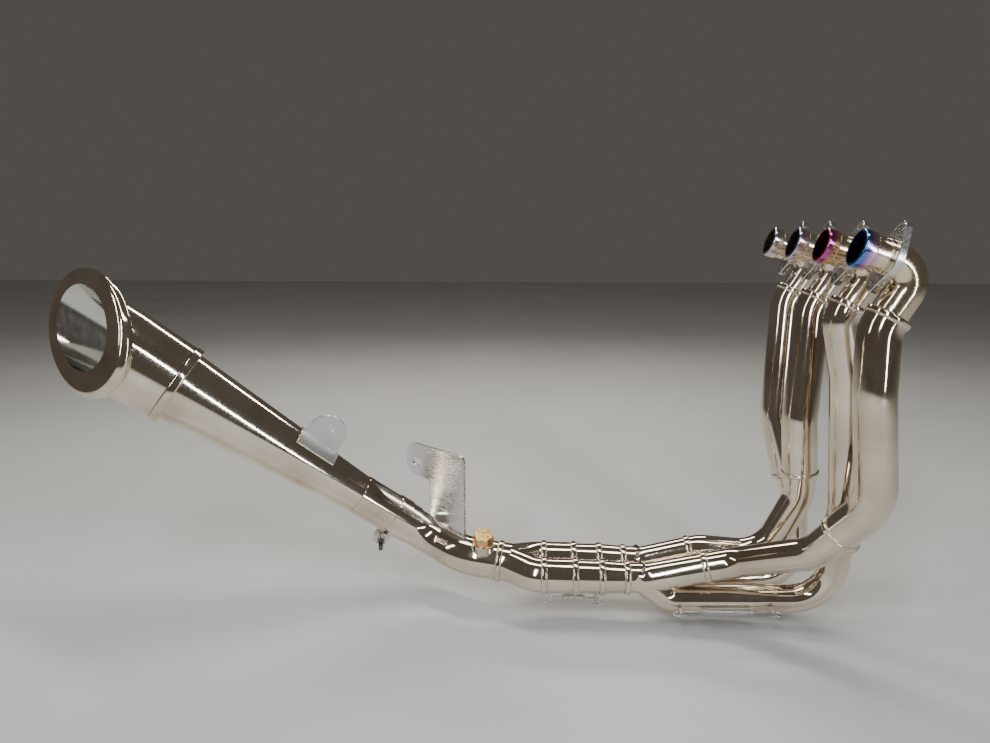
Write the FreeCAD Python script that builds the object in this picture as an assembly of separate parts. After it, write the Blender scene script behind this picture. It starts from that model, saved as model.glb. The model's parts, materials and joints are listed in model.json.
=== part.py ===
"""Four-into-two-into-one racing exhaust for a four-cylinder motorcycle engine.

Frame: millimetres, origin at the centre of header 4's port mouth, +X to the front of
the engine bay, +Y across the engine from header 4 to header 1, +Z up.
"""
import FreeCAD, Part
import math
import os

Vector = FreeCAD.Vector

# ---- overall layout ----
port_pitch = 93.0                 # from one exhaust port to the next
port_fall_deg = 18.0              # slope of each port pipe below level
port_straight = 68.0              # mouth to the corner of the first bend
elbow_leg = 55.0                  # that corner to the upper joint ring
elbow_leg_lean_deg = 30.0         # lean of that leg from upright
clamp_centre = Vector(-500, 196, -371)
silencer_rise_deg = 36.5
silencer_heading_deg = 16.0       # turn of the silencer from straight back, towards header 4

# ---- tubes ----
tube_wall = 1.2
port_pipe_diameter = 35.0
down_pipe_diameter = 42.7
lower_pipe_diameter = 38.1
tail_pipe_diameter = 35.0
outlet_pipe_diameter = 42.4
mid_pipe_diameter = 50.8
elbow_bend_radius = 24.0
header_bend_radius = 70.0
bottom_bend_radius = 50.0
mid_bend_radius = 70.0

# ---- joints between tubes ----
slip_clearance = 0.1              # radial, one tube sliding in another
free_clearance = 0.5              # radial, loose pieces
joint_ring_diameter = 46.0
joint_ring_length = 6.0
strand_ring_height = 2.0          # how far a strand ring stands above its tube
slip_engagement = 34.0
tail_engagement = 70.0

# ---- ports ----
collar_diameter = 39.6
collar_length = 14.0
collar_round = 2.0
flange_thickness = 8.0
flange_body_radius = 25.0
flange_ear_radius = 8.5
flange_stud_spacing = 58.0
flange_hole_radius = 4.25
flange_rest = 34.0                # mouth to the flange's middle
flange_clock_deg = 12.0
flange_chamfer = 0.8

# ---- heights and places of the two strands under the engine ----
strand_y = {"near": 137.0, "far": 187.0}
strand_outlet_x = -222.0          # where a strand reaches its full outlet size
strand_neck_length = 32.0
strand_bend_ahead = 24.0
strand_height = -423.5
slip_mouth_x = -256.0             # mouth of the rear sleeves
tail_height = -451.0
tail_sleeve_x = -27.0
tail_sleeve_length = 113.0
branch_merge_x = -184.0
branch_merge_rise = 6.0
branch_bend_radius = 25.0
secondary_straight = 46.0
rear_merge = Vector(-350, 162, -418)
mid_corner_front = Vector(-404, 166, -412)
merge_inlet_straight = 8.0
merge_bend_radius = 60.0
merge_cone_length = 6.0
merge_outlet_length = 8.0
mid_corner_to_clamp = 58.0

# ---- springs ----
spring_wire_radius = 1.0
spring_coil_radius = 3.5
spring_pitch = 2.6
spring_height = 7.0               # spring axis above the sleeve's surface
lug_wire_radius = 1.5
lug_half_width = 4.5
lug_top = 6.0
hook_reach = 4.0
hook_rise_radius = 4.2
tail_spring_clocks = {"near": [Vector(0, -1, -0.2), Vector(0, 0.7, -0.7)],
                      "far": [Vector(0, 1, 0), Vector(0, 0, -1)]}
header_spring = {"front": 12.0, "rear": -100.0, "coil": 60.0}
rear_spring = {"front": 24.0, "rear": -34.0, "coil": 26.0}

# ---- silencer, measured along its axis from the clamp's centre ----
silencer_wall = 1.2
neck_wall = 1.6
neck_front = -24.0
neck_length = 86.0
cone_small_diameter = 52.0
cone_big_diameter = 92.0
cone_length = 271.0
band_length = 11.0
band_diameter = 104.0
outlet_shell_diameter = 102.0
mouth_shell_diameter = 108.0
outlet_length = 126.0             # from the cone's big end to the mouth's centre
mouth_cut_deg = 44.0
mouth_cut_clock_deg = -95.0
lip_diameter = 134.0
lip_depth = 15.0
lip_round = 5.5
outlet_bore_diameter = 90.0
core_end_diameter = 70.0
core_hole_radius = 2.2
core_hole_rows = 9
core_holes_round = 10
packing_gap = 0.4
packing_start_share = 0.2
packing_end_space = 8.0
baffle_thickness = 3.0
mid_pipe_in_neck = 26.0

# ---- clamp ----
clamp_width = 18.0
clamp_thickness = 1.5
clamp_gap = 9.0
clamp_ear_height = 17.0
clamp_ear_thickness = 3.0
clamp_bolt_radius = 3.0
clamp_bolt_length = 38.0
clamp_head_across = 10.0
clamp_head_height = 5.0
clamp_clock_deg = 180.0

# ---- silencer bracket ----
bracket_from_cone = 84.0          # cone's small end to the bracket's middle
bracket_width = 49.0
bracket_straight = 16.0
bracket_thickness = 3.0
bracket_slot = (14.0, 9.0)
bracket_slot_height = 27.0
saddle_length = 56.0
saddle_thickness = 2.0
saddle_sweep_deg = 76.0

# ---- hanger plate on the mid pipe ----
hanger_thickness = 3.5
hanger_top = 137.0                # above the front corner of the mid pipe
hanger_web_length = 66.0
hanger_arm_length = 48.0
hanger_arm_height = 46.0
hanger_corner_radius = 9.0
hanger_end_radius = 20.0
hanger_slot = (19.0, 10.5)
hanger_slot_in = 22.0             # slot centre from the arm's end
hanger_slot_down = 26.0           # slot centre from the top edge

# ---- sensor boss, M18 plug and its washer ----
boss_diameter = 28.0
boss_height = 12.0
boss_lean_deg = 27.0              # lean from upright, towards header 4
boss_back = 31.0                  # along the mid pipe from the merge
plug_thread_radius = 9.0
plug_thread_clearance = 0.08
plug_thread_length = 13.0
seat_gap = 0.02
plug_across = 22.0
plug_head_height = 10.0
plug_washer_radius = 13.0
plug_washer_thickness = 2.0

X_AXIS = Vector(1, 0, 0)
Y_AXIS = Vector(0, 1, 0)
Z_AXIS = Vector(0, 0, 1)
FAR_AWAY = 400.0
SHORTEST_RUN = 0.001


def heading(rise_deg, turn_deg):
    """Unit direction that points back (-X), turned towards -Y and raised."""
    rise = math.radians(rise_deg)
    turn = math.radians(turn_deg)
    level = math.cos(rise)
    return Vector(-level * math.cos(turn), -level * math.sin(turn), math.sin(rise))


def unit(v):
    return Vector(v).normalize()


def placed(shape, origin, z_axis, x_axis):
    """Copy of a shape, moved from the global frame into a local one."""
    y_axis = z_axis.cross(x_axis)
    moved = shape.copy()
    turn = FreeCAD.Rotation(x_axis, y_axis, z_axis, "ZXY")
    moved.Placement = FreeCAD.Placement(origin, turn).multiply(shape.Placement)
    return moved


def bent_wire(points, bend_radius):
    """Straight runs through the points, joined by tangent arcs."""
    edges = []
    start = points[0]
    last = len(points) - 2
    for i in range(1, len(points) - 1):
        incoming = points[i] - points[i - 1]
        outgoing = points[i + 1] - points[i]
        room_before = incoming.Length * (0.95 if i == 1 else 0.5)
        room_after = outgoing.Length * (0.95 if i == last else 0.5)
        half_turn = incoming.getAngle(outgoing) / 2
        radius = min(bend_radius, min(room_before, room_after) / math.tan(half_turn))
        trim = radius * math.tan(half_turn)
        incoming.normalize()
        outgoing.normalize()
        arc_start = points[i] - incoming * trim
        arc_end = points[i] + outgoing * trim
        inward = unit(outgoing - incoming)
        arc_middle = points[i] + inward * (radius / math.cos(half_turn) - radius)
        if (arc_start - start).Length > SHORTEST_RUN:
            edges.append(Part.LineSegment(start, arc_start).toShape())
        edges.append(Part.Arc(arc_start, arc_middle, arc_end).toShape())
        start = arc_end
    edges.append(Part.LineSegment(start, points[-1]).toShape())
    return Part.Wire(edges)


def bent_rod(points, bend_radius, radius):
    direction = points[1] - points[0]
    profile = Part.Wire([Part.makeCircle(radius, points[0], direction)])
    return bent_wire(points, bend_radius).makePipeShell([profile], True, False)


def bent_tube(points, bend_radius, diameter, wall=tube_wall):
    outside = bent_rod(points, bend_radius, diameter / 2)
    inside = bent_rod(points, bend_radius, diameter / 2 - wall)
    return outside.cut(inside)


def ring(centre, axis, bore_radius, outer_radius, length, rounding=0.0):
    """A ring centred on a point; its two outer edges may be rounded."""
    start = centre - unit(axis) * (length / 2)
    body = Part.makeCylinder(outer_radius, length, start, axis)
    if rounding > 0:
        rims = [e for e in body.Edges if e.isClosed() and hasattr(e.Curve, "Radius")]
        body = body.makeFillet(rounding, rims)
    bore = Part.makeCylinder(bore_radius, length, start, axis)
    return body.cut(bore)


def strand_ring(centre, axis, tube_diameter):
    bore = tube_diameter / 2
    return ring(centre, axis, bore, bore + strand_ring_height, joint_ring_length, 1.5)


def revolved(outline):
    """Solid of revolution about Z from (radius, height) corners."""
    corners = [Vector(r, 0, z) for r, z in outline]
    face = Part.Face(Part.makePolygon(corners + corners[:1]))
    return face.revolve(Vector(0, 0, 0), Z_AXIS, 360)


def hexagon_prism(across, height):
    radius = across / 2 / math.cos(math.pi / 6)
    corners = [Vector(radius * math.cos(math.radians(a)), radius * math.sin(math.radians(a)), 0)
               for a in range(0, 361, 60)]
    prism = Part.Face(Part.makePolygon(corners)).extrude(Z_AXIS * height)
    dome = Part.makeCone(radius * 1.5, radius * 0.86, height * 1.25)
    return prism.common(dome)


def slot_cutter(length, width, depth):
    """Upright cutter with round ends, long along X, centred on the origin."""
    half = length / 2 - width / 2
    left = Vector(-half, 0, 0)
    right = Vector(half, 0, 0)
    up = Y_AXIS * (width / 2)
    edges = [
        Part.LineSegment(left + up, right + up).toShape(),
        Part.Arc(right + up, right + X_AXIS * (width / 2), right - up).toShape(),
        Part.LineSegment(right - up, left - up).toShape(),
        Part.Arc(left - up, left - X_AXIS * (width / 2), left + up).toShape(),
    ]
    cutter = Part.Face(Part.Wire(edges)).extrude(Z_AXIS * depth)
    cutter.translate(Z_AXIS * (-depth / 2))
    return cutter


# ---- header centre lines ----
port_direction = Vector(math.cos(math.radians(port_fall_deg)), 0,
                        -math.sin(math.radians(port_fall_deg)))
port_up = Vector(math.sin(math.radians(port_fall_deg)), 0,
                 math.cos(math.radians(port_fall_deg)))
leg_direction = Vector(-math.sin(math.radians(elbow_leg_lean_deg)), 0,
                       -math.cos(math.radians(elbow_leg_lean_deg)))
ring_to_bend = 15.0


def mouth_of(number):
    return Vector(0, (4 - number) * port_pitch, 0)


def strand_start(side):
    """Centre of the ring where a strand leaves its header pipe."""
    return strand_route_corner[side] + strand_run(side) * strand_ring_run[side]


strand_route_corner = {"near": Vector(-60, 123, -393), "far": Vector(-92, 186, -404)}
strand_ring_run = {"near": 37.0, "far": 14.0}
tail_corner = {"near": Vector(57, 130, -442), "far": Vector(42, 205, -448)}


def strand_end(side):
    return Vector(strand_outlet_x + strand_neck_length, strand_y[side], strand_height)


def strand_bend(side):
    """Corner after which a strand runs straight back, level with its outlet."""
    return strand_end(side) + X_AXIS * strand_bend_ahead


def strand_run(side):
    return unit(strand_bend(side) - strand_route_corner[side])


def sleeve_bend(side):
    return Vector(tail_sleeve_x - tail_sleeve_length, strand_y[side], tail_height)


def tail_direction(side):
    """From the branch sleeve out towards the header that slips into it."""
    return unit(tail_corner[side] - sleeve_bend(side))


def sleeve_mouth(side):
    return sleeve_bend(side) + tail_direction(side) * tail_sleeve_length


# each header: the corners between its upper bend and its last run, and the run
# and fraction where its lower ring sits
header_plan = {
    4: {"side": "near", "tail": False, "ring_run": 2, "ring_at": 0.56,
        "corners": [Vector(29, -6, -150), Vector(50, 10, -270), Vector(10, 62, -350)]},
    3: {"side": "near", "tail": True, "ring_run": 2, "ring_at": 0.35,
        "corners": [Vector(46, 97, -150), Vector(63, 110, -315)]},
    2: {"side": "far", "tail": False, "ring_run": 1, "ring_at": 0.70,
        "corners": [Vector(19, 167, -220), Vector(29, 172, -318), Vector(-9, 183, -409)]},
    1: {"side": "far", "tail": True, "ring_run": 1, "ring_at": 0.70,
        "corners": [Vector(18, 252, -235), Vector(40, 222, -345)]},
}

nodes = {}
pipe_ring_bore = {False: lower_pipe_diameter, True: tail_pipe_diameter}


def make_header(number):
    plan = header_plan[number]
    side = plan["side"]
    mouth = mouth_of(number)
    first_corner = mouth + port_direction * port_straight
    upper_ring = first_corner + leg_direction * elbow_leg
    upper_bend = upper_ring + leg_direction * ring_to_bend
    corners = [upper_bend] + plan["corners"]
    low_start = corners[plan["ring_run"]]
    if plan["tail"]:
        last = [tail_corner[side], sleeve_mouth(side) - tail_direction(side) * tail_engagement]
        low_diameter = tail_pipe_diameter
    else:
        last = [strand_route_corner[side], strand_start(side)]
        low_diameter = lower_pipe_diameter
    route = corners + last
    low_end = route[plan["ring_run"] + 1]
    lower_ring = low_start + (low_end - low_start) * plan["ring_at"]
    half_ring = joint_ring_length / 2
    upper_step = leg_direction * half_ring
    lower_direction = unit(low_end - low_start)
    lower_step = lower_direction * half_ring

    name = "header_%d_" % number
    port_end = upper_ring + upper_step
    nodes[name + "port_pipe"] = bent_tube([mouth, first_corner, port_end],
                                          elbow_bend_radius, port_pipe_diameter)
    down_route = [port_end] + route[:plan["ring_run"] + 1] + [lower_ring - lower_step]
    nodes[name + "down_pipe"] = bent_tube(down_route, header_bend_radius, down_pipe_diameter)
    low_route = [lower_ring - lower_step] + route[plan["ring_run"] + 1:]
    nodes[name + "lower_pipe"] = bent_tube(low_route, bottom_bend_radius, low_diameter)

    outer = joint_ring_diameter / 2
    rings = [
        ring(upper_ring, leg_direction, port_pipe_diameter / 2, outer, joint_ring_length, 1.8),
        ring(lower_ring, lower_direction, low_diameter / 2, outer, joint_ring_length, 1.8),
    ]
    nodes[name + "joint_rings"] = Part.makeCompound(rings)
    collar_middle = mouth + port_direction * (collar_length / 2)
    nodes[name + "port_collar"] = ring(collar_middle, port_direction, port_pipe_diameter / 2,
                                       collar_diameter / 2, collar_length, collar_round)
    flange_place = mouth + port_direction * flange_rest
    nodes[name + "flange"] = placed(flange(), flange_place, port_direction, ear_direction())


def ear_direction():
    sideways = port_direction.cross(port_up)
    clock = math.radians(flange_clock_deg)
    return unit(port_up * math.cos(clock) + sideways * math.sin(clock))


def flange():
    """Two-eared loose flange, its ears along X and its bore along Z."""
    reach = flange_stud_spacing / 2
    angle = math.acos((flange_body_radius - flange_ear_radius) / reach)
    start = Z_AXIS * (-flange_thickness / 2)
    outline = []
    for along, side in ((1, 1), (-1, 1), (-1, -1), (1, -1)):
        tangent = Vector(along * math.cos(angle), side * math.sin(angle), 0)
        on_ear = X_AXIS * (along * reach) + tangent * flange_ear_radius
        on_body = tangent * flange_body_radius
        pair = [on_ear, on_body] if along * side > 0 else [on_body, on_ear]
        outline.extend(pair)
    outline = [p + start for p in outline]
    plate = Part.Face(Part.makePolygon(outline + outline[:1])).extrude(Z_AXIS * flange_thickness)
    plate = plate.fuse(Part.makeCylinder(flange_body_radius, flange_thickness, start))
    for along in (-1, 1):
        place = start + X_AXIS * (along * reach)
        plate = plate.fuse(Part.makeCylinder(flange_ear_radius, flange_thickness, place))
    plate = plate.removeSplitter()
    rims = [e for e in plate.Edges if abs(e.CenterOfMass.z) > flange_thickness * 0.49]
    plate = plate.makeChamfer(flange_chamfer, rims)
    bore_radius = port_pipe_diameter / 2 + free_clearance
    plate = plate.cut(Part.makeCylinder(bore_radius, flange_thickness, start))
    for along in (-1, 1):
        place = start + X_AXIS * (along * reach)
        plate = plate.cut(Part.makeCylinder(flange_hole_radius, flange_thickness, place))
    return plate


# ---- strands and collectors ----
def make_strand(side):
    back = X_AXIS * -1
    neck = strand_end(side)
    outlet_start = neck + back * strand_neck_length
    mouth = Vector(slip_mouth_x, strand_y[side], strand_height)
    outlet_end = mouth + back * slip_engagement
    merge = Vector(branch_merge_x, neck.y, strand_end(side).z + branch_merge_rise)

    sleeve_diameter = tail_pipe_diameter + 2 * (slip_clearance + tube_wall)
    branch_points = [sleeve_mouth(side), sleeve_bend(side), merge]
    straight_points = [strand_start(side), strand_bend(side), neck]
    outer_parts = []
    inner_parts = []
    for parts, inset in ((outer_parts, 0.0), (inner_parts, tube_wall)):
        low = lower_pipe_diameter / 2 - inset
        high = outlet_pipe_diameter / 2 - inset
        parts.append(bent_rod(straight_points, bottom_bend_radius, low))
        parts.append(bent_rod(branch_points, branch_bend_radius, sleeve_diameter / 2 - inset))
        parts.append(Part.makeCone(low, high, strand_neck_length, neck, back))
        length = (outlet_end - outlet_start).Length
        parts.append(Part.makeCylinder(high, length, outlet_start, back))
    outside = outer_parts[0].fuse(outer_parts[1:])
    inside = inner_parts[0].fuse(inner_parts[1:])
    nodes[side + "_collector"] = outside.cut(inside)

    rings = [
        strand_ring(strand_start(side), strand_run(side), lower_pipe_diameter),
        strand_ring(neck + back * (joint_ring_length / 2), back, lower_pipe_diameter + 1.4),
        strand_ring(outlet_start + back * (joint_ring_length / 2), back, outlet_pipe_diameter),
    ]
    nodes[side + "_collector_rings"] = Part.makeCompound(rings)


def make_secondary(side):
    mouth = Vector(slip_mouth_x, strand_y[side], strand_height)
    end = mouth - X_AXIS * secondary_straight
    nodes[side + "_secondary_pipe"] = bent_tube([mouth, end], mid_bend_radius, sleeve_diameter())


def sleeve_diameter():
    return outlet_pipe_diameter + 2 * (slip_clearance + tube_wall)


def mid_pipe_start():
    return rear_merge + unit(mid_corner_front - rear_merge) * merge_outlet_length


def make_rear_collector():
    outlet_direction = unit(mid_corner_front - rear_merge)
    outer_parts = []
    inner_parts = []
    for parts, inset in ((outer_parts, 0.0), (inner_parts, tube_wall)):
        for side in strand_y:
            start = Vector(slip_mouth_x - secondary_straight, strand_y[side], strand_height)
            corner = start - X_AXIS * merge_inlet_straight
            points = [start, corner, rear_merge + outlet_direction * 2]
            parts.append(bent_rod(points, merge_bend_radius, sleeve_diameter() / 2 - inset))
        begin = rear_merge - outlet_direction * merge_cone_length
        radius = mid_pipe_diameter / 2 - inset
        parts.append(Part.makeCylinder(radius, merge_outlet_length + merge_cone_length, begin,
                                       outlet_direction))
    outside = outer_parts[0].fuse(outer_parts[1:])
    inside = inner_parts[0].fuse(inner_parts[1:])
    nodes["rear_collector"] = outside.cut(inside)

    rings = []
    for side in strand_y:
        mouth = Vector(slip_mouth_x, strand_y[side], strand_height)
        inset = X_AXIS * (-joint_ring_length / 2)
        rings.append(strand_ring(mouth + inset, X_AXIS, sleeve_diameter()))
        end = mouth - X_AXIS * secondary_straight
        rings.append(strand_ring(end + inset * -1, X_AXIS, sleeve_diameter()))
    rings.append(strand_ring(mid_pipe_start(), outlet_direction, mid_pipe_diameter))
    nodes["rear_rings"] = Part.makeCompound(rings)


# ---- mid pipe, hanger and sensor boss ----
silencer_axis = heading(silencer_rise_deg, silencer_heading_deg)
silencer_up = unit(Vector(silencer_axis.z, 0, -silencer_axis.x))


def mid_pipe_points():
    rear_end = clamp_centre + silencer_axis * mid_pipe_in_neck
    corner = clamp_centre - silencer_axis * mid_corner_to_clamp
    return [mid_pipe_start(), mid_corner_front, corner, rear_end]


def make_mid_pipe():
    points = mid_pipe_points()
    nodes["mid_pipe"] = bent_tube(points, mid_bend_radius, mid_pipe_diameter)
    pipe_body = bent_rod(points, mid_bend_radius, mid_pipe_diameter / 2)
    make_hanger(points, pipe_body)
    make_sensor(pipe_body)


def make_hanger(points, pipe_body):
    """Flat plate that stands on the pipe, its arm reaching back to a slot."""
    run = points[2] - points[1]
    along = unit(Vector(run.x, run.y, 0))
    top = hanger_top
    arm_bottom = top - hanger_arm_height
    reach = hanger_web_length + hanger_arm_length
    corners = [Vector(0, 0, 0), Vector(0, top, 0), Vector(reach, top, 0),
               Vector(reach, arm_bottom, 0), Vector(hanger_web_length, arm_bottom, 0),
               Vector(hanger_web_length, 0, 0)]
    plate = Part.Face(Part.makePolygon(corners + corners[:1])).extrude(Z_AXIS * hanger_thickness)
    radii = {1: hanger_corner_radius, 2: hanger_end_radius, 3: hanger_end_radius,
             4: hanger_corner_radius}
    for index, radius in radii.items():
        spot = corners[index] + Z_AXIS * (hanger_thickness / 2)
        edge = [e for e in plate.Edges if e.CenterOfMass.distanceToPoint(spot) < 0.1]
        plate = plate.makeFillet(radius, edge)
    cutter = slot_cutter(hanger_slot[0], hanger_slot[1], 4 * hanger_thickness)
    cutter.translate(Vector(reach - hanger_slot_in, top - hanger_slot_down, 0))
    plate = plate.cut(cutter)
    plate.translate(Z_AXIS * (-hanger_thickness / 2))
    sideways = along.cross(Z_AXIS)
    plate = placed(plate, points[1], sideways, along)
    nodes["hanger_plate"] = largest_solid(plate.cut(pipe_body))


def largest_solid(shape):
    return max(shape.Solids, key=lambda solid: solid.Volume)


def make_sensor(pipe_body):
    forward = unit(mid_corner_front - rear_merge)
    lean = math.radians(boss_lean_deg)
    upright = Vector(0, -math.sin(lean), math.cos(lean))
    axis = unit(upright - forward * upright.dot(forward))
    foot = rear_merge + forward * boss_back
    boss_top = mid_pipe_diameter / 2 + boss_height
    bore_radius = plug_thread_radius + plug_thread_clearance
    boss = Part.makeCylinder(boss_diameter / 2, boss_top, foot, axis)
    boss = boss.cut(pipe_body)
    boss = boss.cut(Part.makeCylinder(bore_radius, boss_top, foot, axis))
    nodes["sensor_boss"] = largest_solid(boss)
    bore = Part.makeCylinder(bore_radius, boss_top, foot, axis)
    nodes["mid_pipe"] = nodes["mid_pipe"].cut(bore)

    washer_place = foot + axis * (boss_top + seat_gap)
    washer = Part.makeCylinder(plug_washer_radius, plug_washer_thickness, washer_place, axis)
    washer_bore = Part.makeCylinder(bore_radius, plug_washer_thickness, washer_place, axis)
    nodes["plug_washer"] = washer.cut(washer_bore)
    head_place = washer_place + axis * plug_washer_thickness
    head = placed(hexagon_prism(plug_across, plug_head_height), head_place, axis, forward)
    thread_length = plug_thread_length + plug_washer_thickness
    thread = Part.makeCylinder(plug_thread_radius, thread_length + 1.0,
                               head_place - axis * thread_length, axis)
    nodes["sensor_plug"] = head.fuse(thread).removeSplitter()


# ---- slip joint hardware ----
def wire_lug(surface_radius, z, lift=0.0):
    """U-shaped wire standing on a tube along +X, its opening facing along Z."""
    foot = surface_radius - 1.0
    top = surface_radius + lug_top + lift
    points = [Vector(foot, -lug_half_width, z), Vector(top + lug_half_width, -lug_half_width, z),
              Vector(top + lug_half_width, lug_half_width, z), Vector(foot, lug_half_width, z)]
    lug = bent_rod(points, lug_half_width, lug_wire_radius)
    tube = Part.makeCylinder(surface_radius, 20, Vector(0, 0, z - 10))
    return lug.cut(tube)


def spring(axis_radius, spans):
    """Closed-wound coil with an open hook at each end, along Z, at +X."""
    front = spans["front"]
    rear = spans["rear"]
    middle = (front + rear) / 2
    low = middle - spans["coil"] / 2
    helix = Part.makeHelix(spring_pitch, spans["coil"], spring_coil_radius)
    profile = Part.Wire([Part.makeCircle(spring_wire_radius, Vector(spring_coil_radius, 0, 0),
                                         Y_AXIS)])
    coil = Part.Wire(helix).makePipeShell([profile], True, True)
    coil.translate(Vector(axis_radius, 0, low))
    solids = [coil]
    for lug_z, coil_z, sign in ((front, low + spans["coil"], 1), (rear, low, -1)):
        start = coil_z + sign * 1.6 * spring_wire_radius
        turn = lug_z + sign * (hook_reach + hook_rise_radius)
        high = axis_radius + 2 * hook_rise_radius
        points = [Vector(axis_radius, 0, start), Vector(axis_radius, 0, turn),
                  Vector(high, 0, turn), Vector(high, 0, lug_z - sign * hook_reach)]
        solids.append(bent_rod(points, hook_rise_radius, spring_wire_radius))
        across = Vector(-spring_coil_radius, 0, 0)
        base = Vector(axis_radius, 0, start) - across
        solids.append(Part.makeCylinder(spring_wire_radius, spring_coil_radius * 2, base, across))
    return solids


def slip_hardware(mouth, direction, clocks, spans, tube_radius, sleeve_radius):
    """Springs, lugs on the inner tube and lugs on the sleeve round one slip joint."""
    springs = []
    tube_lugs = []
    sleeve_lugs = []
    for clock in clocks:
        outward = unit(clock - direction * clock.dot(direction))
        axis_radius = sleeve_radius + spring_height
        for solid in spring(axis_radius, spans):
            springs.append(placed(solid, mouth, direction, outward))
        lift = sleeve_radius - tube_radius
        tube_lug = wire_lug(tube_radius, spans["front"], lift)
        tube_lugs.append(placed(tube_lug, mouth, direction, outward))
        sleeve_lugs.append(placed(wire_lug(sleeve_radius, spans["rear"]), mouth, direction,
                                  outward))
    return springs, tube_lugs, sleeve_lugs


def make_slip_hardware():
    sleeve_radius = tail_pipe_diameter / 2 + slip_clearance + tube_wall
    for side, number in (("near", 3), ("far", 1)):
        springs, tube_lugs, sleeve_lugs = slip_hardware(
            sleeve_mouth(side), tail_direction(side), tail_spring_clocks[side], header_spring,
            tail_pipe_diameter / 2, sleeve_radius)
        nodes["header_%d_springs" % number] = Part.makeCompound(springs)
        nodes["header_%d_spring_lugs" % number] = Part.makeCompound(tube_lugs)
        nodes[side + "_collector_lugs"] = Part.makeCompound(sleeve_lugs)
    rear_lugs = []
    for side in strand_y:
        mouth = Vector(slip_mouth_x, strand_y[side], strand_height)
        springs, tube_lugs, sleeve_lugs = slip_hardware(
            mouth, X_AXIS, [Z_AXIS * -1], rear_spring,
            outlet_pipe_diameter / 2, sleeve_diameter() / 2)
        nodes[side + "_outlet_spring"] = Part.makeCompound(springs)
        joined = nodes[side + "_collector_lugs"].Solids + tube_lugs
        nodes[side + "_collector_lugs"] = Part.makeCompound(joined)
        rear_lugs.extend(sleeve_lugs)
    nodes["rear_spring_lugs"] = Part.makeCompound(rear_lugs)


# ---- silencer, built with its axis along Z and its upper side along +X ----
def cone_radius(station):
    """Outer radius of the cone at a distance from its small end."""
    share = station / cone_length
    return (cone_small_diameter + (cone_big_diameter - cone_small_diameter) * share) / 2


def in_silencer(shape):
    return placed(shape, clamp_centre, silencer_axis, silencer_up)


def behind_mouth(offset):
    """Half-space on the engine side of the slanted mouth plane."""
    cut = math.radians(mouth_cut_deg)
    clock = math.radians(mouth_cut_clock_deg)
    sideways = Vector(math.cos(clock), math.sin(clock), 0)
    normal = unit(Z_AXIS * math.cos(cut) + sideways * math.sin(cut))
    across = unit(normal.cross(sideways))
    block = Part.makeBox(FAR_AWAY, FAR_AWAY, FAR_AWAY)
    block.translate(Vector(-FAR_AWAY / 2, -FAR_AWAY / 2, -FAR_AWAY))
    centre = Z_AXIS * mouth_station - normal * offset
    return placed(block, centre, normal, across)


cone_start = neck_front + neck_length
cone_end = cone_start + cone_length
mouth_station = cone_end + outlet_length


def make_silencer_body():
    neck_bore = mid_pipe_diameter / 2 + slip_clearance
    neck_outer = neck_bore + neck_wall
    neck = Part.makeCylinder(neck_outer, neck_length, Z_AXIS * neck_front)
    neck = neck.cut(Part.makeCylinder(neck_bore, neck_length, Z_AXIS * neck_front))
    nodes["silencer_neck"] = in_silencer(neck)

    small = cone_small_diameter / 2
    big = cone_big_diameter / 2
    wall = silencer_wall
    cone = revolved([(small, cone_start), (big, cone_end), (big - wall, cone_end),
                     (small - wall, cone_start)])
    nodes["silencer_cone"] = in_silencer(cone)
    band = ring(Z_AXIS * cone_end, Z_AXIS, big, band_diameter / 2, band_length, 2.0)
    clear = revolved([(0, cone_end - band_length), (cone_radius(cone_length - band_length),
                      cone_end - band_length), (big, cone_end), (big, cone_end + band_length),
                      (0, cone_end + band_length)])
    nodes["silencer_band"] = in_silencer(band.cut(clear))

    shell_start = cone_end + band_length / 2
    shell_small = outlet_shell_diameter / 2
    shell_big = mouth_shell_diameter / 2
    flare_end = mouth_station - mouth_shell_diameter / 2
    past = mouth_station + mouth_shell_diameter
    shell = revolved([(shell_small, shell_start), (shell_big, flare_end), (shell_big, past),
                      (shell_big - wall, past), (shell_big - wall, flare_end),
                      (shell_small - wall, shell_start)])
    nodes["outlet_shell"] = in_silencer(shell.common(behind_mouth(lip_depth)))

    bore = outlet_bore_diameter / 2
    tube_outer = bore + wall
    core_end = core_end_diameter / 2
    tube = revolved([(core_end, cone_end), (tube_outer, flare_end), (tube_outer, past),
                     (bore, past), (bore, flare_end), (core_end - wall, cone_end)])
    nodes["outlet_tube"] = in_silencer(tube.common(behind_mouth(0)))

    lip_length = past - flare_end + lip_diameter
    lip_base = Z_AXIS * (mouth_station - lip_length / 2)
    lip = Part.makeCylinder(lip_diameter / 2, lip_length, lip_base)
    lip = lip.common(behind_mouth(0)).cut(behind_mouth(lip_depth))
    rims = [e for e in lip.Edges if isinstance(e.Curve, Part.Ellipse)]
    lip = lip.makeFillet(lip_round, rims)
    lip = lip.cut(Part.makeCylinder(tube_outer, lip_length, lip_base))
    nodes["mouth_lip"] = in_silencer(lip)


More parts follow.
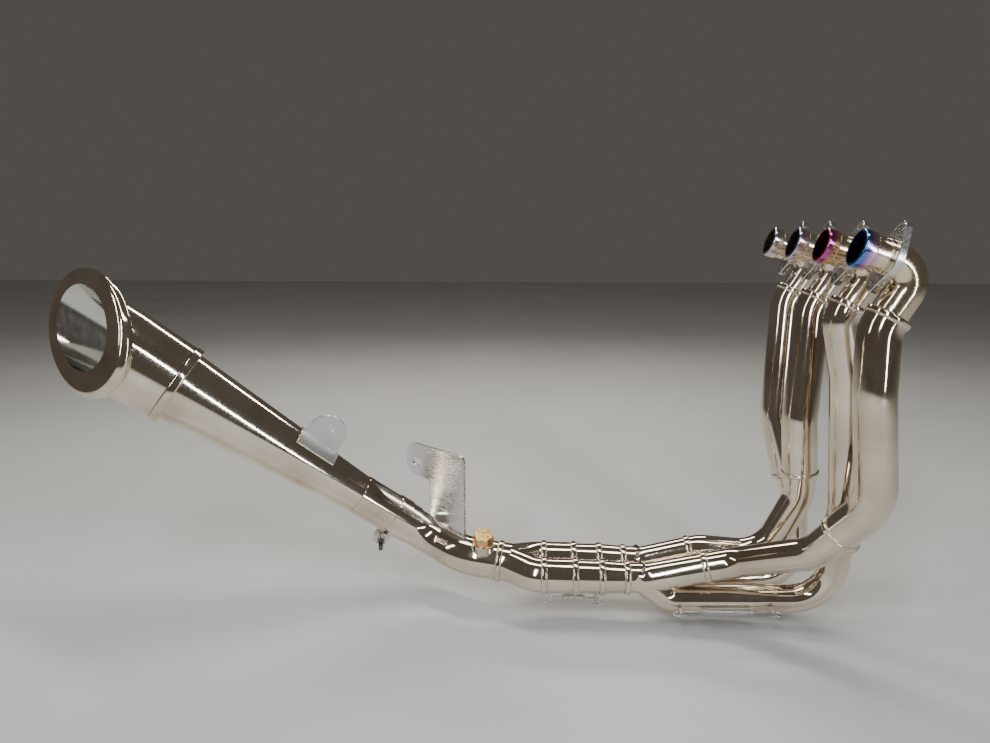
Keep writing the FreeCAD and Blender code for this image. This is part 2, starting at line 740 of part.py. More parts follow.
def make_silencer_core():
    start_radius = cone_small_diameter / 2 - silencer_wall
    end_radius = core_end_diameter / 2
    wall = silencer_wall
    core = revolved([(start_radius, cone_start), (end_radius, cone_end),
                     (end_radius - wall, cone_end), (start_radius - wall, cone_start)])
    drills = []
    for row in range(core_hole_rows):
        station = cone_start + cone_length * (row + 1) / (core_hole_rows + 1)
        for step in range(core_holes_round):
            turn = 2 * math.pi * (step + row % 2 / 2) / core_holes_round
            outward = Vector(math.cos(turn), math.sin(turn), 0)
            drills.append(Part.makeCylinder(core_hole_radius, end_radius + 4, Z_AXIS * station,
                                            outward))
    nodes["perforated_core"] = in_silencer(core.cut(Part.makeCompound(drills)))

    first = cone_length * packing_start_share
    outline = []
    for station in (first, cone_length - packing_end_space):
        share = station / cone_length
        core_radius = start_radius + (end_radius - start_radius) * share
        height = cone_start + station
        outline.append((core_radius + packing_gap, height))
        outline.insert(0, (cone_radius(station) - wall - packing_gap, height))
    nodes["sound_packing"] = in_silencer(revolved(outline))

    baffle_front = cone_end - baffle_thickness
    outer = cone_radius(cone_length - baffle_thickness) - wall
    baffle = Part.makeCylinder(outer, baffle_thickness, Z_AXIS * baffle_front)
    baffle = baffle.cut(Part.makeCylinder(end_radius, baffle_thickness, Z_AXIS * baffle_front))
    nodes["core_support_ring"] = in_silencer(baffle)


def make_clamp():
    neck_outer = mid_pipe_diameter / 2 + slip_clearance + neck_wall
    outer = neck_outer + clamp_thickness
    start = Z_AXIS * (-clamp_width / 2)
    band = Part.makeCylinder(outer, clamp_width, start)
    ear_total = clamp_gap + 2 * clamp_ear_thickness
    ear_box = Part.makeBox(outer + clamp_ear_height, ear_total, clamp_width)
    ear_box.translate(Vector(0, -ear_total / 2, -clamp_width / 2))
    band = band.fuse(ear_box)
    band = band.cut(Part.makeCylinder(neck_outer, clamp_width, start))
    gap = Part.makeBox(outer + clamp_ear_height, clamp_gap, clamp_width)
    gap.translate(Vector(0, -clamp_gap / 2, -clamp_width / 2))
    band = band.cut(gap)
    bolt_x = outer + clamp_ear_height / 2 + 1.0
    hole_radius = clamp_bolt_radius + free_clearance / 2
    hole = Part.makeCylinder(hole_radius, ear_total, Vector(bolt_x, -ear_total / 2, 0), Y_AXIS)
    band = band.cut(hole)

    head_y = -ear_total / 2
    bolt = Part.makeCylinder(clamp_bolt_radius, clamp_bolt_length, Vector(bolt_x, head_y, 0),
                             Y_AXIS)
    head = placed(hexagon_prism(clamp_head_across, clamp_head_height),
                  Vector(bolt_x, head_y, 0), Y_AXIS * -1, Z_AXIS)
    nut = placed(hexagon_prism(clamp_head_across, clamp_head_height),
                 Vector(bolt_x, ear_total / 2, 0), Y_AXIS, Z_AXIS)
    nut_bore = Part.makeCylinder(clamp_bolt_radius, FAR_AWAY, Vector(bolt_x, 0, 0), Y_AXIS)
    clock = FreeCAD.Rotation(Z_AXIS, clamp_clock_deg)
    pieces = {"clamp_band": band, "clamp_bolt": bolt.fuse(head), "clamp_nut": nut.cut(nut_bore)}
    for name, shape in pieces.items():
        shape.rotate(Vector(0, 0, 0), clock.Axis, math.degrees(clock.Angle))
        nodes[name] = in_silencer(shape)


def make_silencer_bracket():
    """D-shaped plate with a slot, on a saddle that follows the cone."""
    middle = cone_start + bracket_from_cone
    base_radius = cone_radius(bracket_from_cone)
    half = saddle_length / 2
    low = cone_radius(bracket_from_cone - half)
    high = cone_radius(bracket_from_cone + half)
    thick = saddle_thickness
    corners = [Vector(low, 0, middle - half), Vector(low + thick, 0, middle - half),
               Vector(high + thick, 0, middle + half), Vector(high, 0, middle + half)]
    section = Part.Face(Part.makePolygon(corners + corners[:1]))
    saddle = section.revolve(Vector(0, 0, 0), Z_AXIS, saddle_sweep_deg)
    saddle.rotate(Vector(0, 0, 0), Z_AXIS, -saddle_sweep_deg / 2)
    nodes["bracket_saddle"] = in_silencer(saddle)

    radius = bracket_width / 2
    foot = base_radius - 6.0
    shoulder = base_radius + thick + bracket_straight
    start = Vector(foot, 0, middle - radius)
    top_start = Vector(shoulder, 0, middle - radius)
    top_end = Vector(shoulder, 0, middle + radius)
    end = Vector(foot, 0, middle + radius)
    edges = [
        Part.LineSegment(start, top_start).toShape(),
        Part.Arc(top_start, Vector(shoulder + radius, 0, middle), top_end).toShape(),
        Part.LineSegment(top_end, end).toShape(),
        Part.LineSegment(end, start).toShape(),
    ]
    plate = Part.Face(Part.Wire(edges)).extrude(Y_AXIS * bracket_thickness)
    plate.translate(Y_AXIS * (-bracket_thickness / 2))
    cutter = slot_cutter(bracket_slot[0], bracket_slot[1], 4 * bracket_thickness)
    cutter = placed(cutter, Vector(base_radius + bracket_slot_height, 0, middle), Y_AXIS, Z_AXIS)
    plate = plate.cut(cutter)
    small = cone_radius(0) + thick
    big = cone_radius(cone_length) + thick
    cone = Part.makeCone(small, big, cone_length, Z_AXIS * cone_start)
    nodes["silencer_bracket"] = in_silencer(plate.cut(cone))


for header in header_plan:
    make_header(header)
for strand in strand_y:
    make_strand(strand)
    make_secondary(strand)
make_rear_collector()
make_mid_pipe()
make_slip_hardware()
make_silencer_body()
make_silencer_core()
make_clamp()
make_silencer_bracket()

os.makedirs("parts", exist_ok=True)
for name, shape in nodes.items():
    shape.exportStep("parts/%s.step" % name)
print("%d nodes" % len(nodes))
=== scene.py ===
"""Finish of a motorcycle racing exhaust: polished tubes, tinted port collars,
welds, sprung slip joints and a rolled silencer mouth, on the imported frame."""
import json
import math

import bmesh
import bpy
import numpy as np
from mathutils import Matrix, Vector

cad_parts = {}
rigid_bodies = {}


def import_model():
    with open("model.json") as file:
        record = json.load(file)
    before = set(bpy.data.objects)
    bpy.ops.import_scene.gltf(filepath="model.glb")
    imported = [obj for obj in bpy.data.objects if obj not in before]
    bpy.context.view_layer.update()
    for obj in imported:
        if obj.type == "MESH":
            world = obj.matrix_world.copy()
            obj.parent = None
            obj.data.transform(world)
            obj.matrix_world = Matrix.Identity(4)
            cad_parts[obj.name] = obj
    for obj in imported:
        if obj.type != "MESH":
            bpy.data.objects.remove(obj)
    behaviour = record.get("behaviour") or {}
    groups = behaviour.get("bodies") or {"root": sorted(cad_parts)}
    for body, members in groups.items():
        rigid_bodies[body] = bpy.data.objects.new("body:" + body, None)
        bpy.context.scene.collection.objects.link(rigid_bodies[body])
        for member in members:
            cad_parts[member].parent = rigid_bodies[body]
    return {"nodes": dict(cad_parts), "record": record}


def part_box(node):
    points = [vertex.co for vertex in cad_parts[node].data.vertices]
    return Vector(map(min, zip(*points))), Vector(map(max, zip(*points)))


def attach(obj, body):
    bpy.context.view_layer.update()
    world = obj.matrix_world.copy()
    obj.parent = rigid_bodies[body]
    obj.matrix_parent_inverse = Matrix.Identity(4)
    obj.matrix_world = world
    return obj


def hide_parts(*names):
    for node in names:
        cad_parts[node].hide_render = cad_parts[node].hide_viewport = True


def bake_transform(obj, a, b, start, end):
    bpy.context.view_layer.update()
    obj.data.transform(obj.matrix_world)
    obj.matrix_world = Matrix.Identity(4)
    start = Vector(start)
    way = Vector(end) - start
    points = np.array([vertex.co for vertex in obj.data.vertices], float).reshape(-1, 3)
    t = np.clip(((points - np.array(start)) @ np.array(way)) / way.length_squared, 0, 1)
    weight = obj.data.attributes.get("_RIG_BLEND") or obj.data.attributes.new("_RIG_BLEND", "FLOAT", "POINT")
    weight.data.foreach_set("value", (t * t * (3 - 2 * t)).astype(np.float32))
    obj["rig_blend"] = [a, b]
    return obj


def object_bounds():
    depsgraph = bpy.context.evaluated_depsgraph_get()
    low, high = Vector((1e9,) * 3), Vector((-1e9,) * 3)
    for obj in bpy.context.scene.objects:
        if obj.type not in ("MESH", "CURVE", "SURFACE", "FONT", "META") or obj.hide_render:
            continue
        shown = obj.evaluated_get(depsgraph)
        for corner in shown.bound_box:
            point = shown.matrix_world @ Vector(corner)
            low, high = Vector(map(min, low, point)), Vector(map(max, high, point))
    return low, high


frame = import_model()
CAD_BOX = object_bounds()

MM = 0.001
PORT_FALL = math.radians(18.0)
PORT_DIRECTION = Vector((math.cos(PORT_FALL), 0.0, -math.sin(PORT_FALL)))
PORTS = (4, 3, 2, 1)
BODY_OF = {node: body for body, members in frame["record"]["behaviour"]["bodies"].items()
           for node in members}
JOINTS = {joint["name"]: joint for joint in frame["record"]["behaviour"]["joints"]}


# ---------------------------------------------------------------- camera and light
def camera():
    data = bpy.data.cameras.new("studio_camera")
    data.lens = 27.05
    data.sensor_width = 36.0
    data.clip_start = 0.01
    obj = bpy.data.objects.new("studio_camera", data)
    obj.location = (-0.3141, -0.7579, 0.0221)
    obj.rotation_euler = (math.radians(78.8), 0.0, math.radians(3.1))
    bpy.context.collection.objects.link(obj)
    bpy.context.scene.camera = obj


def softbox(name, place, target, size, power, colour=(1.0, 1.0, 1.0)):
    data = bpy.data.lights.new(name, "AREA")
    data.shape = "RECTANGLE"
    data.size, data.size_y = size
    data.energy = power
    data.color = colour
    obj = bpy.data.objects.new(name, data)
    obj.location = place
    aim = Vector(target) - Vector(place)
    obj.rotation_euler = aim.to_track_quat("-Z", "Y").to_euler()
    bpy.context.collection.objects.link(obj)


def studio():
    world = bpy.data.worlds.new("studio_world")
    bpy.context.scene.world = world
    world.use_nodes = True
    background = world.node_tree.nodes["Background"]
    background.inputs["Color"].default_value = (0.20, 0.18, 0.16, 1.0)
    background.inputs["Strength"].default_value = 0.45
    middle = (-0.35, 0.1, -0.2)
    softbox("key_strip", (-0.9, -1.6, 1.1), middle, (0.16, 1.7), 26.0, (0.90, 0.95, 1.0))
    softbox("fill_strip", (0.75, -1.5, 0.5), middle, (0.12, 1.6), 15.0, (0.86, 0.93, 1.0))
    softbox("top_box", (-0.3, 0.2, 1.9), middle, (1.8, 0.28), 22.0, (1.0, 0.97, 0.90))
    softbox("back_strip", (-0.4, 1.7, 1.0), middle, (1.6, 0.16), 16.0, (1.0, 0.93, 0.82))
    softbox("rear_side", (-2.1, -0.5, 0.9), middle, (0.10, 1.2), 7.0, (1.0, 0.97, 0.92))


# ---------------------------------------------------------------- materials
NOISE_LOW, NOISE_HIGH = 0.3, 0.7
PATCH_LOW, PATCH_HIGH = 0.32, 0.68
RAMP_MIDDLE = 0.5
POLISHING_DEPTH = 0.4 * MM
TINT_WANDER = 0.35
TINT_STOPS = (0.12, 0.42, 0.72, 1.0)


def shader(name):
    """A material with its tree and its principled shader."""
    material = bpy.data.materials.new(name)
    material.use_nodes = True
    tree = material.node_tree
    return material, tree, tree.nodes["Principled BSDF"]


def noise(tree, scale, detail=3.0, stretch=(1.0, 1.0, 1.0)):
    """Noise on object coordinates, optionally stretched."""
    place = tree.nodes.new("ShaderNodeTexCoord")
    mapping = tree.nodes.new("ShaderNodeMapping")
    mapping.inputs["Scale"].default_value = stretch
    texture = tree.nodes.new("ShaderNodeTexNoise")
    texture.inputs["Scale"].default_value = scale
    texture.inputs["Detail"].default_value = detail
    tree.links.new(place.outputs["Object"], mapping.inputs["Vector"])
    tree.links.new(mapping.outputs["Vector"], texture.inputs["Vector"])
    return texture.outputs["Fac"]


def ramp(tree, value, stops):
    """Colours along a value, from (position, colour) stops."""
    node = tree.nodes.new("ShaderNodeValToRGB")
    elements = node.color_ramp.elements
    while len(elements) < len(stops):
        elements.new(RAMP_MIDDLE)
    for element, (position, colour) in zip(elements, stops):
        element.position = position
        element.color = (*colour, 1.0)
    tree.links.new(value, node.inputs["Fac"])
    return node.outputs["Color"]


def spread(tree, value, low, high):
    """Maps the middle of a noise's values onto a range."""
    node = tree.nodes.new("ShaderNodeMapRange")
    node.inputs["From Min"].default_value = NOISE_LOW
    node.inputs["From Max"].default_value = NOISE_HIGH
    node.inputs["To Min"].default_value = low
    node.inputs["To Max"].default_value = high
    tree.links.new(value, node.inputs["Value"])
    return node.outputs["Result"]


def bump(tree, principled, height, strength, distance):
    node = tree.nodes.new("ShaderNodeBump")
    node.inputs["Strength"].default_value = strength
    node.inputs["Distance"].default_value = distance
    tree.links.new(height, node.inputs["Height"])
    tree.links.new(node.outputs["Normal"], principled.inputs["Normal"])


def metal(name, dark, light, roughness, grain=320.0, relief=0.05, patch=14.0,
          stretch=(1.0, 1.0, 1.0)):
    """Bare metal: slow colour drift, fine roughness drift and fine polishing marks."""
    material, tree, principled = shader(name)
    principled.inputs["Metallic"].default_value = 1.0
    colour = ramp(tree, noise(tree, patch, 4.0), [(PATCH_LOW, dark), (PATCH_HIGH, light)])
    tree.links.new(colour, principled.inputs["Base Color"])
    fine = noise(tree, grain, 4.0, stretch)
    tree.links.new(spread(tree, fine, *roughness), principled.inputs["Roughness"])
    bump(tree, principled, fine, relief, POLISHING_DEPTH)
    return material


HEAT_TINTS = {
    4: [(0.05, 0.32, 0.62), (0.20, 0.16, 0.62), (0.62, 0.38, 0.62), (0.80, 0.68, 0.48)],
    3: [(0.62, 0.10, 0.16), (0.42, 0.10, 0.46), (0.78, 0.46, 0.22), (0.80, 0.70, 0.52)],
    2: [(0.52, 0.64, 0.80), (0.60, 0.42, 0.60), (0.80, 0.62, 0.54), (0.80, 0.72, 0.60)],
    1: [(0.60, 0.70, 0.82), (0.72, 0.56, 0.66), (0.80, 0.70, 0.56), (0.80, 0.73, 0.62)],
}


def heat_tinted(number, length):
    """Polished steel with oxide colours that fade over a length from the port mouth."""
    material, tree, principled = shader("heat_tint_%d_%d" % (number, round(length / MM)))
    principled.inputs["Metallic"].default_value = 1.0
    place = tree.nodes.new("ShaderNodeTexCoord")
    along = tree.nodes.new("ShaderNodeVectorMath")
    along.operation = "DOT_PRODUCT"
    along.inputs[1].default_value = PORT_DIRECTION / length
    tree.links.new(place.outputs["Object"], along.inputs[0])
    wander = tree.nodes.new("ShaderNodeMath")
    wander.operation = "MULTIPLY_ADD"
    wander.inputs[1].default_value = TINT_WANDER
    tree.links.new(noise(tree, 55.0, 3.0), wander.inputs[0])
    tree.links.new(along.outputs["Value"], wander.inputs[2])
    stops = list(zip(TINT_STOPS, HEAT_TINTS[number]))
    tree.links.new(ramp(tree, wander.outputs["Value"], stops), principled.inputs["Base Color"])
    fine = noise(tree, 300.0, 4.0)
    tree.links.new(spread(tree, fine, 0.08, 0.2), principled.inputs["Roughness"])
    bump(tree, principled, fine, 0.05, POLISHING_DEPTH)
    return material


def woven_glass():
    material, tree, principled = shader("glass_fibre_packing")
    colour = ramp(tree, noise(tree, 400.0, 5.0, (1.0, 1.0, 6.0)),
                  [(NOISE_LOW, (0.55, 0.50, 0.38)), (NOISE_HIGH, (0.88, 0.84, 0.72))])
    tree.links.new(colour, principled.inputs["Base Color"])
    principled.inputs["Roughness"].default_value = 0.9
    bump(tree, principled, noise(tree, 500.0, 4.0), 0.6, 0.002)
    return material


def pale_floor():
    material, tree, principled = shader("pale_floor")
    colour = ramp(tree, noise(tree, 3.0, 4.0),
                  [(NOISE_LOW, (0.60, 0.60, 0.59)), (NOISE_HIGH, (0.66, 0.66, 0.65))])
    tree.links.new(colour, principled.inputs["Base Color"])
    principled.inputs["Roughness"].default_value = 0.7
    return material


POLISHED = metal("polished_stainless", (0.62, 0.52, 0.40), (0.84, 0.76, 0.65), (0.05, 0.12),
                 relief=0.02)
BORE = metal("silencer_bore", (0.58, 0.57, 0.54), (0.76, 0.74, 0.70), (0.10, 0.16), 180.0, 0.02,
             stretch=(1.0, 1.0, 0.25))
WELD = metal("tig_weld", (0.46, 0.38, 0.28), (0.84, 0.74, 0.56), (0.14, 0.3), 500.0, 0.1, 220.0)
MACHINED = metal("machined_flange", (0.56, 0.55, 0.53), (0.78, 0.77, 0.75), (0.18, 0.30), 260.0,
                 0.03)
BRUSHED = metal("brushed_plate", (0.78, 0.79, 0.82), (0.92, 0.92, 0.93), (0.20, 0.30), 260.0, 0.03,
                stretch=(0.15, 0.15, 2.0))
SATIN = metal("satin_bracket", (0.64, 0.64, 0.62), (0.80, 0.80, 0.78), (0.36, 0.50), 420.0, 0.08)
BRASS = metal("brass", (0.62, 0.40, 0.14), (0.86, 0.64, 0.30), (0.16, 0.28), 300.0, 0.04)
COPPER = metal("copper_washer", (0.55, 0.28, 0.16), (0.78, 0.46, 0.30), (0.25, 0.4), 300.0, 0.12)
WIRE = metal("spring_wire", (0.52, 0.52, 0.52), (0.80, 0.80, 0.79), (0.12, 0.26), 600.0, 0.03)
DARK_STEEL = metal("dark_clamp_steel", (0.10, 0.10, 0.11), (0.30, 0.30, 0.31), (0.22, 0.4), 380.0,
                   0.15, 60.0)
MILL = metal("mill_finish_core", (0.42, 0.40, 0.37), (0.62, 0.60, 0.57), (0.3, 0.5), 200.0, 0.2)
PACKING = woven_glass()
COLLAR_TINT_LENGTH = 16 * MM
PIPE_TINT_LENGTH = 24 * MM
COLLAR_TINT = {number: heat_tinted(number, COLLAR_TINT_LENGTH) for number in PORTS}
PIPE_TINT = {number: heat_tinted(number, PIPE_TINT_LENGTH) for number in PORTS}


def finish_of(node):
    """The material of a CAD node."""
    number = int(node.split("_")[1]) if node.startswith("header_") else 0
    if node.endswith("port_collar"):
        return COLLAR_TINT[number]
    if node.endswith("port_pipe"):
        return PIPE_TINT[number]
    if node.endswith("flange"):
        return MACHINED
    if "spring" in node or node.endswith("lugs"):
        return WIRE
    if node in ("clamp_bolt", "clamp_nut"):
        return DARK_STEEL
    named = {"hanger_plate": BRUSHED, "silencer_bracket": SATIN, "bracket_saddle": SATIN,
             "sensor_plug": BRASS, "plug_washer": COPPER, "outlet_tube": BORE,
             "perforated_core": MILL, "core_support_ring": MILL, "sound_packing": PACKING}
    return named.get(node, POLISHED)


# ---------------------------------------------------------------- mesh helpers
SHARP = math.radians(32.0)
SAME_POINT = 0.01 * MM


def new_piece(name, mesh, material):
    """Links a finished mesh at the origin, smooth except along its sharp edges."""
    mesh.materials.clear()
    mesh.materials.append(material)
    mesh.polygons.foreach_set("use_smooth", [True] * len(mesh.polygons))
    mesh.set_sharp_from_angle(angle=SHARP)
    obj = bpy.data.objects.new(name, mesh)
    bpy.context.collection.objects.link(obj)
    return obj


def welded_copy(node):
    """A copy of a CAD node's mesh with its loose triangles joined."""
    form = bmesh.new()
    form.from_mesh(frame["nodes"][node].data)
    bmesh.ops.remove_doubles(form, verts=form.verts, dist=SAME_POINT)
    mesh = bpy.data.meshes.new(node + "_surface")
    form.to_mesh(mesh)
    form.free()
    for name in [a.name for a in mesh.attributes if a.name == "custom_normal"]:
        mesh.attributes.remove(mesh.attributes[name])
    return mesh


def finished_copy(node):
    """Replaces a CAD node with its joined, smooth-shaded copy."""
    obj = new_piece(node + "_finished", welded_copy(node), finish_of(node))
    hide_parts(node)
    return obj


def islands(mesh):
    """Arrays of vertex places, one for each separate solid in a mesh, in vertex order."""
    form = bmesh.new()
    form.from_mesh(mesh)
    unseen = set(form.verts)
    found = []
    for first in form.verts:
        if first not in unseen:
            continue
        unseen.remove(first)
        stack = [first]
        members = []
        while stack:
            vertex = stack.pop()
            members.append(vertex.co.copy())
            for edge in vertex.link_edges:
                other = edge.other_vert(vertex)
                if other in unseen:
                    unseen.remove(other)
                    stack.append(other)
        found.append(np.array(members, float))
    form.free()
    return found


def ring_facts(points):
    """Centre, axis, bore radius, outer radius and half length of a ring's points."""
    centre = points.mean(0)
    spread_of = np.cov((points - centre).T)
    axis = np.linalg.eigh(spread_of)[1][:, 0]
    if axis[2] < 0:
        axis = -axis
    along = (points - centre) @ axis
    centre = centre + axis * (along.max() + along.min()) / 2
    radial = np.linalg.norm(points - centre - np.outer((points - centre) @ axis, axis), axis=1)
    half = (along.max() - along.min()) / 2
    return Vector(centre), Vector(axis), radial.min(), radial.max(), half


# ---------------------------------------------------------------- welds
def painted_output(tree, place):
    """Ends a tree: its instances made real, given the weld material and put out."""
    real = tree.nodes.new("GeometryNodeRealizeInstances")
    tree.links.new(place.outputs["Instances"], real.inputs["Geometry"])
    paint = tree.nodes.new("GeometryNodeSetMaterial")
    paint.inputs["Material"].default_value = WELD
    tree.links.new(real.outputs["Geometry"], paint.inputs["Geometry"])
    outputs = tree.nodes.new("NodeGroupOutput")
    tree.links.new(paint.outputs["Geometry"], outputs.inputs["Geometry"])


def weld_ring_tree():
    """Geometry Nodes: overlapping weld beads round a circle in the XY plane."""
    tree = bpy.data.node_groups.new("weld_ring", "GeometryNodeTree")
    tree.interface.new_socket("Geometry", in_out="OUTPUT", socket_type="NodeSocketGeometry")
    for name, kind, value in (("Radius", "NodeSocketFloat", 0.02), ("Beads", "NodeSocketInt", 60),
                              ("Bead Size", "NodeSocketFloat", 0.0015),
                              ("Seed", "NodeSocketInt", 1)):
        socket = tree.interface.new_socket(name, in_out="INPUT", socket_type=kind)
        socket.default_value = value
    add = tree.nodes.new
    link = tree.links.new
    inputs = add("NodeGroupInput")
    circle = add("GeometryNodeMeshCircle")
    link(inputs.outputs["Beads"], circle.inputs["Vertices"])
    link(inputs.outputs["Radius"], circle.inputs["Radius"])
    bead = add("GeometryNodeMeshIcoSphere")
    bead.inputs["Subdivisions"].default_value = 2
    link(inputs.outputs["Bead Size"], bead.inputs["Radius"])
    index = add("GeometryNodeInputIndex")
    share = add("ShaderNodeMath")
    share.operation = "DIVIDE"
    link(index.outputs["Index"], share.inputs[0])
    link(inputs.outputs["Beads"], share.inputs[1])
    turn = add("ShaderNodeMath")
    turn.operation = "MULTIPLY"
    turn.inputs[1].default_value = 2 * math.pi
    link(share.outputs["Value"], turn.inputs[0])
    angles = add("ShaderNodeCombineXYZ")
    link(turn.outputs["Value"], angles.inputs["Z"])
    size = add("FunctionNodeRandomValue")
    size.data_type = "FLOAT_VECTOR"
    size.inputs["Min"].default_value = (0.45, 1.15, 0.85)
    size.inputs["Max"].default_value = (0.60, 1.35, 1.05)
    link(inputs.outputs["Seed"], size.inputs["Seed"])
    place = add("GeometryNodeInstanceOnPoints")
    link(circle.outputs["Mesh"], place.inputs["Points"])
    link(bead.outputs["Mesh"], place.inputs["Instance"])
    link(angles.outputs["Vector"], place.inputs["Rotation"])
    link(size.outputs["Value"], place.inputs["Scale"])
    painted_output(tree, place)
    return tree


def node_mesh(tree, values, base=None):
    """The mesh that a Geometry Nodes tree makes with these named inputs."""
    carrier = bpy.data.objects.new("carrier", base or bpy.data.meshes.new("carrier"))
    bpy.context.collection.objects.link(carrier)
    modifier = carrier.modifiers.new("shape", "NODES")
    modifier.node_group = tree
    for item in tree.interface.items_tree:
        if item.in_out == "INPUT" and item.name in values:
            modifier[item.identifier] = values[item.name]
    graph = bpy.context.evaluated_depsgraph_get()
    mesh = bpy.data.meshes.new_from_object(carrier.evaluated_get(graph))
    bpy.data.objects.remove(carrier)
    return mesh


def weld_path_tree():
    """Geometry Nodes: overlapping weld beads along a line of edges."""
    tree = bpy.data.node_groups.new("weld_path", "GeometryNodeTree")
    tree.interface.new_socket("Geometry", in_out="INPUT", socket_type="NodeSocketGeometry")
    tree.interface.new_socket("Geometry", in_out="OUTPUT", socket_type="NodeSocketGeometry")
    step = tree.interface.new_socket("Bead Step", in_out="INPUT", socket_type="NodeSocketFloat")
    step.default_value = 0.0016
    bead_size = tree.interface.new_socket("Bead Size", in_out="INPUT",
                                          socket_type="NodeSocketFloat")
    bead_size.default_value = 0.0014
    add = tree.nodes.new
    link = tree.links.new
    inputs = add("NodeGroupInput")
    curve = add("GeometryNodeMeshToCurve")
    link(inputs.outputs["Geometry"], curve.inputs["Mesh"])
    spaced = add("GeometryNodeResampleCurve")
    spaced.mode = "LENGTH"
    link(curve.outputs["Curve"], spaced.inputs["Curve"])
    link(inputs.outputs["Bead Step"], spaced.inputs["Length"])
    bead = add("GeometryNodeMeshIcoSphere")
    bead.inputs["Subdivisions"].default_value = 2
    link(inputs.outputs["Bead Size"], bead.inputs["Radius"])
    size = add("FunctionNodeRandomValue")
    size.data_type = "FLOAT_VECTOR"
    size.inputs["Min"].default_value = (0.75, 0.75, 0.75)
    size.inputs["Max"].default_value = (1.0, 1.0, 1.0)
    size.inputs["Seed"].default_value = 7
    place = add("GeometryNodeInstanceOnPoints")
    link(spaced.outputs["Curve"], place.inputs["Points"])
    link(bead.outputs["Mesh"], place.inputs["Instance"])
    link(size.outputs["Value"], place.inputs["Scale"])
    painted_output(tree, place)
    return tree


RING_STEP = 1.35     # between beads round a ring, in bead sizes
PATH_STEP = 1.2      # between beads along a line, in bead sizes
FEWEST_BEADS = 12


class Welds:
    """Collects the weld beads of each body and makes one piece for each body."""

    def __init__(self):
        self.tree = weld_ring_tree()
        self.path_tree = weld_path_tree()
        self.forms = {}
        self.count = 0

    def add(self, body, centre, axis, radius, size):
        """A ring of beads about an axis."""
        self.count += 1
        beads = max(FEWEST_BEADS, round(2 * math.pi * radius / (size * RING_STEP)))
        mesh = node_mesh(self.tree, {"Radius": radius, "Beads": beads, "Bead Size": size,
                                     "Seed": self.count})
        turn = Vector(axis).to_track_quat("Z", "Y").to_matrix().to_4x4()
        mesh.transform(Matrix.Translation(centre) @ turn)
        form = self.forms.setdefault(body, bmesh.new())
        form.from_mesh(mesh)
        bpy.data.meshes.remove(mesh)

    def add_path(self, body, points, size, closed=False):
        """A line of beads through points."""
        line = bpy.data.meshes.new("weld_line")
        edges = [(i, i + 1) for i in range(len(points) - 1)]
        if closed:
            edges.append((len(points) - 1, 0))
        line.from_pydata(points, edges, [])
        values = {"Bead Step": size * PATH_STEP, "Bead Size": size}
        mesh = node_mesh(self.path_tree, values, line)
        form = self.forms.setdefault(body, bmesh.new())
        form.from_mesh(mesh)

    def finish(self):
        for body, form in self.forms.items():
            mesh = bpy.data.meshes.new("welds_" + body)
            form.to_mesh(mesh)
            form.free()
            obj = new_piece("welds_" + body, mesh, WELD)
            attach(obj, body)


BEAD = 1.3 * MM
BEAD_LIFT = 0.3 * MM       # of a bead's middle off the tube that it seals
DOWN_PIPE_INSET = 1.5 * MM    # of a joint ring's outer weld from its outer edge


def weld_joint_rings(welds):
    """Welds on both ends of every ring between two tubes."""
    for number in PORTS:
        node = "header_%d_joint_rings" % number
        found = sorted((ring_facts(p) for p in islands(welded_copy(node))),
                       key=lambda facts: facts[0].z)
        for (centre, axis, bore, outer, half), small_side in zip(found, (-1, 1)):
            body = BODY_OF[node]
            welds.add(body, centre + axis * small_side * half, axis, bore + BEAD_LIFT, BEAD)
            welds.add(body, centre - axis * small_side * half, axis, outer - DOWN_PIPE_INSET, BEAD)
    for node in ("near_collector_rings", "far_collector_rings", "rear_rings"):
        for points in islands(welded_copy(node)):
            centre, axis, bore, outer, half = ring_facts(points)
            for side in (-1, 1):
                welds.add(BODY_OF[node], centre + axis * side * half, axis, bore + BEAD_LIFT, BEAD)


TOP_FACE = 0.1 * MM      # a point this near the top is in the boss's top face
WALL_REACH = 0.2 * MM    # a point this near the widest is on the boss's wall
BELOW_TOP = 1.0 * MM     # a point this far down is at the wall's foot
ANGLE_DIGITS = 2         # rounding that gives one foot point for each direction


def weld_sensor_boss(welds):
    """Weld round the foot of the boss, where its wall meets the mid pipe."""
    points = np.array([v.co for v in frame["nodes"]["sensor_boss"].data.vertices], float)
    axis = np.array(JOINTS["plug_out"]["axis"])
    heights = points @ axis
    top = points[heights > heights.max() - TOP_FACE]
    centre = top.mean(0)
    offsets = points - centre
    radial = offsets - np.outer(offsets @ axis, axis)
    distance = np.linalg.norm(radial, axis=1)
    rim = (distance > distance.max() - WALL_REACH) & (heights < heights.max() - BELOW_TOP)
    side = np.cross(axis, (0.0, 1.0, 0.0))
    side /= np.linalg.norm(side)
    other = np.cross(axis, side)
    around = {}
    for offset, place in zip(radial[rim], points[rim]):
        angle = math.atan2(offset @ other, offset @ side)
        around[round(angle, ANGLE_DIGITS)] = place
    path = [tuple(around[angle]) for angle in sorted(around)]
    welds.add_path(BODY_OF["sensor_boss"], path, BEAD, closed=True)


FOOT_SHARE = 0.3         # of the hanger plate's height that counts as its foot


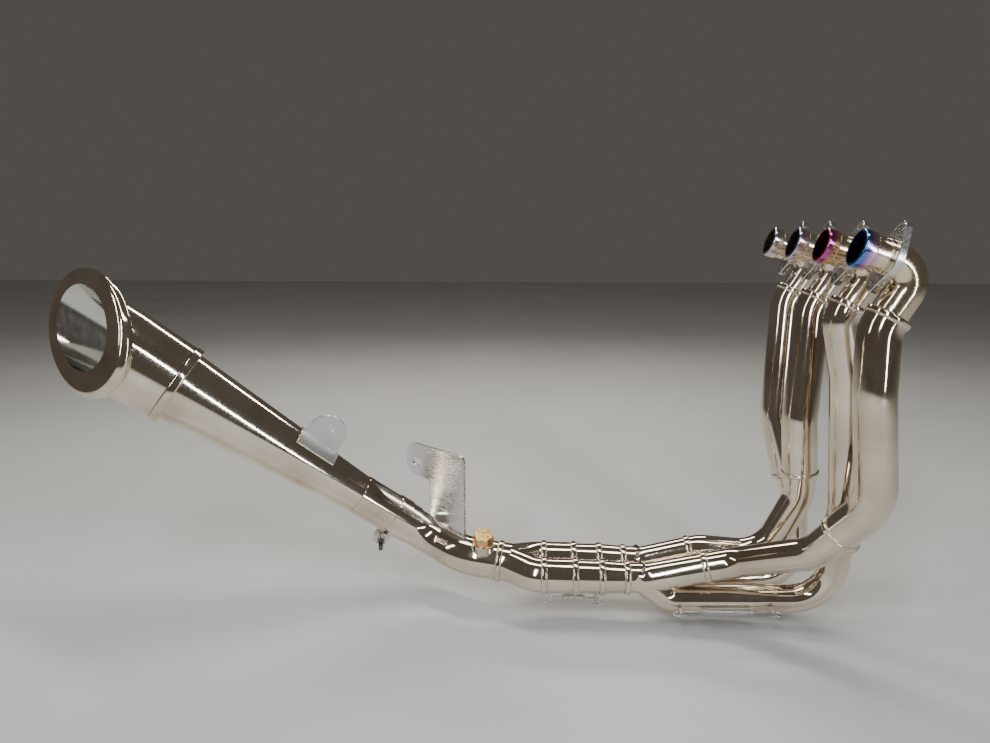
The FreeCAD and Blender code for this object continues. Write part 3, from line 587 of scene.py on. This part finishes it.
def weld_hanger(welds):
    """Weld along both sides of the hanger plate's foot."""
    mesh = welded_copy("hanger_plate")
    points = np.array([v.co for v in mesh.vertices], float)
    low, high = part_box("hanger_plate")
    foot = points[points[:, 2] < low.z + (high.z - low.z) * FOOT_SHARE]
    run = np.array((high.x - low.x, low.y - high.y, 0.0))
    run /= np.linalg.norm(run)
    across = np.array((-run[1], run[0], 0.0))
    depth = foot @ across
    for side in (depth < depth.mean(), depth > depth.mean()):
        line = foot[side]
        line = line[np.argsort(line @ run)]
        if len(line) > 1:
            welds.add_path(BODY_OF["hanger_plate"], [tuple(p) for p in line], BEAD)


SPRING_JOINTS = {"header_3_springs": "header_3_slip", "header_1_springs": "header_1_slip",
                 "near_outlet_spring": "rear_slip", "far_outlet_spring": "far_slip"}
SPRING_REACH = 30 * MM     # of a spring's stretch to each side of its middle
FLOOR_REACH = 6.0
FLOOR_GAP = 4 * MM         # between the floor and the lowest tube


def stretch_spring(piece, node):
    """Blends a spring across the slip joint that it holds together."""
    joint = JOINTS[SPRING_JOINTS[node]]
    axis = Vector(joint["axis"])
    low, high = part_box(node)
    middle = (low + high) / 2
    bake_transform(piece, joint["parent"], joint["child"], start=middle - axis * SPRING_REACH,
             end=middle + axis * SPRING_REACH)


def lay_floor():
    """The pale floor just under the object."""
    level = CAD_BOX[0][2] - FLOOR_GAP
    corners = [(-FLOOR_REACH, -FLOOR_REACH, level), (FLOOR_REACH, -FLOOR_REACH, level),
               (FLOOR_REACH, FLOOR_REACH, level), (-FLOOR_REACH, FLOOR_REACH, level)]
    mesh = bpy.data.meshes.new("floor")
    mesh.from_pydata(corners, [], [(0, 1, 2, 3)])
    mesh.materials.append(pale_floor())
    floor = bpy.data.objects.new("floor", mesh)
    bpy.context.collection.objects.link(floor)


def main():
    camera()
    studio()
    for node, body in sorted(BODY_OF.items()):
        piece = finished_copy(node)
        if node in SPRING_JOINTS:
            stretch_spring(piece, node)
        else:
            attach(piece, body)
    welds = Welds()
    weld_joint_rings(welds)
    weld_sensor_boss(welds)
    weld_hanger(welds)
    welds.finish()
    lay_floor()


main()
